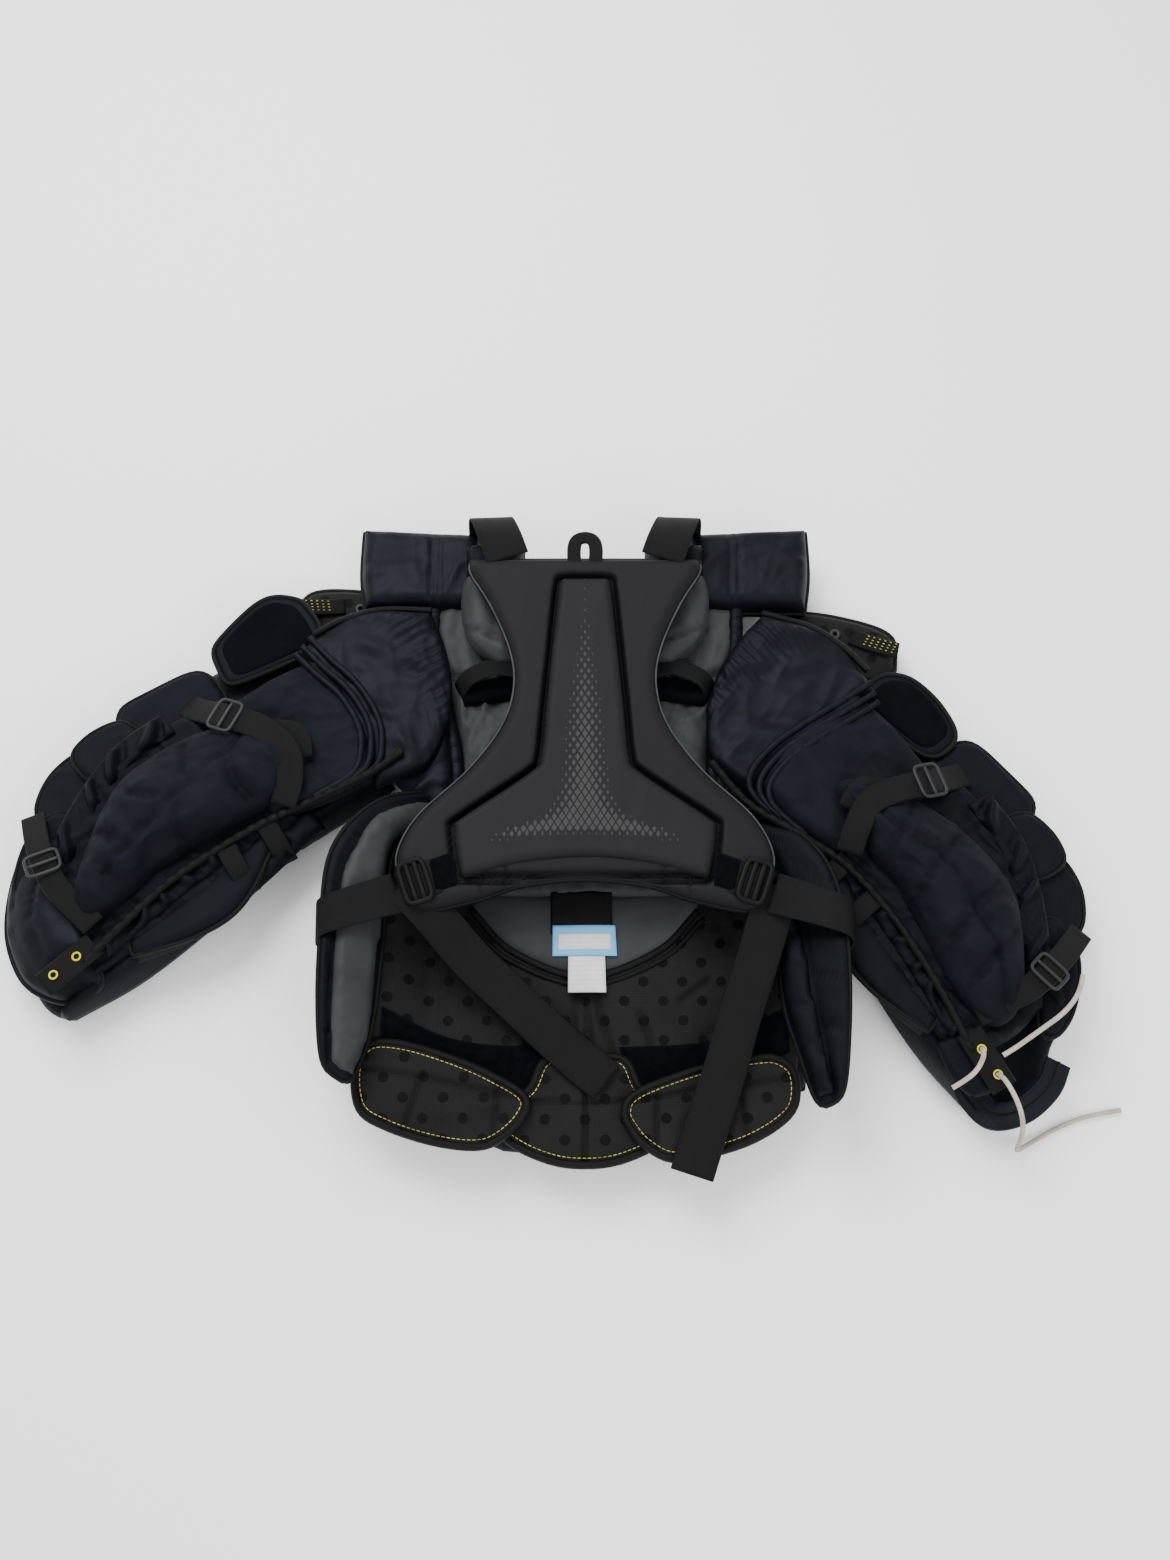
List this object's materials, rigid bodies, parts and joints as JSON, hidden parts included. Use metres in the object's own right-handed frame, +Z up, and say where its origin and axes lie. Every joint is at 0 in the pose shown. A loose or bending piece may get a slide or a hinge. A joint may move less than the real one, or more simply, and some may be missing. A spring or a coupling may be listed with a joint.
{
  "type": "hockey goalie chest and arm protector",
  "caption": "Padded chest and arm protector for an ice hockey goalkeeper, lying chest down with its back pad, side wings, belly flaps and jointed sleeves spread out.",
  "frame": {"origin": "middle of the sternum plate's face that lies on the floor", "axes": "+X across the chest towards the wearer's right sleeve as it lies, +Y towards the neck, +Z up from the floor to the back pad"},
  "size_m": [1.0856, 0.6711, 0.12],
  "materials": {
    "back_core_print": "moulded fabric with lighter diamonds",
    "back_fabric": "smooth moulded fabric",
    "black_nylon": "wrinkled satin-faced nylon",
    "buckle_plastic": "satin moulded",
    "grey_satin": "quilted charcoal satin",
    "hook_fabric": "fuzzy hook and loop",
    "label_black": "woven, blank",
    "label_white": "woven, blank",
    "lace": "braided waxed cotton",
    "leather": "smooth synthetic leather",
    "mesh_liner": "fine mesh with dark dots",
    "pad_plastic": "moulded insert under fabric",
    "webbing": "ribbed black webbing"
  },
  "bodies": {
    "torso": {"sternum_plate": "pad_plastic", "chest_pad": "black_nylon", "rib_pads": "black_nylon", "belly_pad": "black_nylon", "belly_liner": "mesh_liner", "yoke_liner": "grey_satin", "sternum_liner": "grey_satin", "hook_strip": "hook_fabric", "shoulder_blocks": "black_nylon", "yoke_risers": "grey_satin", "collar_pads": "grey_satin", "top_straps": "webbing", "maker_label": "label_black", "care_label": "label_white"},
    "back": {"back_pad": "back_fabric", "back_core": "back_core_print", "back_band": "back_fabric", "waist_buckles": "buckle_plastic", "hanging_loop": "webbing"},
    "tail_left": {"strap_tail_left": "webbing"},
    "tail_right": {"strap_tail_right": "webbing"},
    "wing_left": {"wing_left": "grey_satin", "wing_strap_left": "webbing"},
    "wing_right": {"wing_right": "grey_satin", "wing_strap_right": "webbing"},
    "belly_centre": {"belly_flap_centre": "mesh_liner"},
    "belly_left": {"belly_flap_left": "mesh_liner"},
    "belly_right": {"belly_flap_right": "mesh_liner"},
    "upper_arm_left": {"upper_shell_left": "black_nylon", "upper_liner_left": "black_nylon", "biceps_pad_left": "black_nylon", "upper_strap_left": "webbing", "upper_buckle_left": "buckle_plastic"},
    "cap_left": {"shoulder_cap_left": "black_nylon"},
    "arm_flap_left": {"biceps_flap_left": "black_nylon"},
    "forearm_left": {"forearm_shell_left": "black_nylon", "elbow_pad_left": "pad_plastic", "forearm_pad_left": "black_nylon", "forearm_strap_left": "webbing", "forearm_buckle_left": "buckle_plastic", "wrist_cuff_left": "leather", "lace_tab_left": "leather"},
    "upper_arm_right": {"upper_shell_right": "black_nylon", "upper_liner_right": "black_nylon", "biceps_pad_right": "black_nylon", "upper_strap_right": "webbing", "upper_buckle_right": "buckle_plastic"},
    "cap_right": {"shoulder_cap_right": "black_nylon"},
    "arm_flap_right": {"biceps_flap_right": "black_nylon"},
    "forearm_right": {"forearm_shell_right": "black_nylon", "elbow_pad_right": "pad_plastic", "forearm_pad_right": "black_nylon", "forearm_strap_right": "webbing", "forearm_buckle_right": "buckle_plastic", "wrist_cuff_right": "leather", "lace_tab_right": "leather", "lace_inner": "lace", "lace_end": "lace", "lace_outer": "lace"}
  },
  "joints": [
    {"name": "back_pad_lift", "type": "hinge", "parent": "torso", "child": "back", "pos_m": [0, 0.2885, 0.11], "axis": [-1, 0, 0], "range_deg": [0, 35]},
    {"name": "belly_centre_lift", "type": "hinge", "parent": "torso", "child": "belly_centre", "pos_m": [0, -0.176, 0.0495], "axis": [-1, 0, 0], "range_deg": [0, 25]},
    {"name": "belly_left_lift", "type": "hinge", "parent": "belly_centre", "child": "belly_left", "pos_m": [-0.11, -0.176, 0.0595], "axis": [-1, 0, 0], "range_deg": [0, 18]},
    {"name": "belly_right_lift", "type": "hinge", "parent": "belly_centre", "child": "belly_right", "pos_m": [0.11, -0.176, 0.0595], "axis": [-1, 0, 0], "range_deg": [0, 18]},
    {"name": "wing_left_fold", "type": "hinge", "parent": "torso", "child": "wing_left", "pos_m": [-0.152, -0.09, 0.032], "axis": [0, 1, 0], "range_deg": [0, 8]},
    {"name": "tail_left_lift", "type": "hinge", "parent": "back", "child": "tail_left", "pos_m": [-0.145, -0.052, 0.1175], "axis": [-0.6561, -0.7547, 0], "range_deg": [0, 25]},
    {"name": "shoulder_left_raise", "type": "hinge", "parent": "torso", "child": "upper_arm_left", "pos_m": [-0.16, 0.177, 0.052], "axis": [0, 0, -1], "range_deg": [0, 25]},
    {"name": "shoulder_cap_left_swing", "type": "hinge", "parent": "upper_arm_left", "child": "cap_left", "pos_m": [-0.16, 0.177, 0.011], "axis": [0, 0, -1], "range_deg": [0, 8]},
    {"name": "elbow_left_bend", "type": "hinge", "parent": "upper_arm_left", "child": "forearm_left", "pos_m": [-0.32995, 0.06236, 0.06], "axis": [-0.5592, 0.829, 0], "range_deg": [0, 55]},
    {"name": "arm_flap_left_lift", "type": "hinge", "parent": "upper_arm_left", "child": "arm_flap_left", "pos_m": [-0.32167, 0.17169, 0.058], "axis": [0.829, 0.5592, 0], "range_deg": [0, 90]},
    {"name": "wing_right_fold", "type": "hinge", "parent": "torso", "child": "wing_right", "pos_m": [0.152, -0.09, 0.032], "axis": [0, -1, 0], "range_deg": [0, 8]},
    {"name": "tail_right_lift", "type": "hinge", "parent": "back", "child": "tail_right", "pos_m": [0.145, -0.052, 0.1175], "axis": [-0.9816, 0.1908, 0], "range_deg": [0, 25]},
    {"name": "shoulder_right_raise", "type": "hinge", "parent": "torso", "child": "upper_arm_right", "pos_m": [0.16, 0.177, 0.052], "axis": [0, 0, 1], "range_deg": [0, 35]},
    {"name": "shoulder_cap_right_swing", "type": "hinge", "parent": "upper_arm_right", "child": "cap_right", "pos_m": [0.16, 0.177, 0.011], "axis": [0, 0, 1], "range_deg": [0, 8]},
    {"name": "elbow_right_bend", "type": "hinge", "parent": "upper_arm_right", "child": "forearm_right", "pos_m": [0.28337, 0.01328, 0.06], "axis": [-0.7986, -0.6018, 0], "range_deg": [0, 55]},
    {"name": "arm_flap_right_lift", "type": "hinge", "parent": "upper_arm_right", "child": "arm_flap_right", "pos_m": [0.31113, 0.11934, 0.058], "axis": [0.6018, -0.7986, 0], "range_deg": [0, 90]}
  ]
}
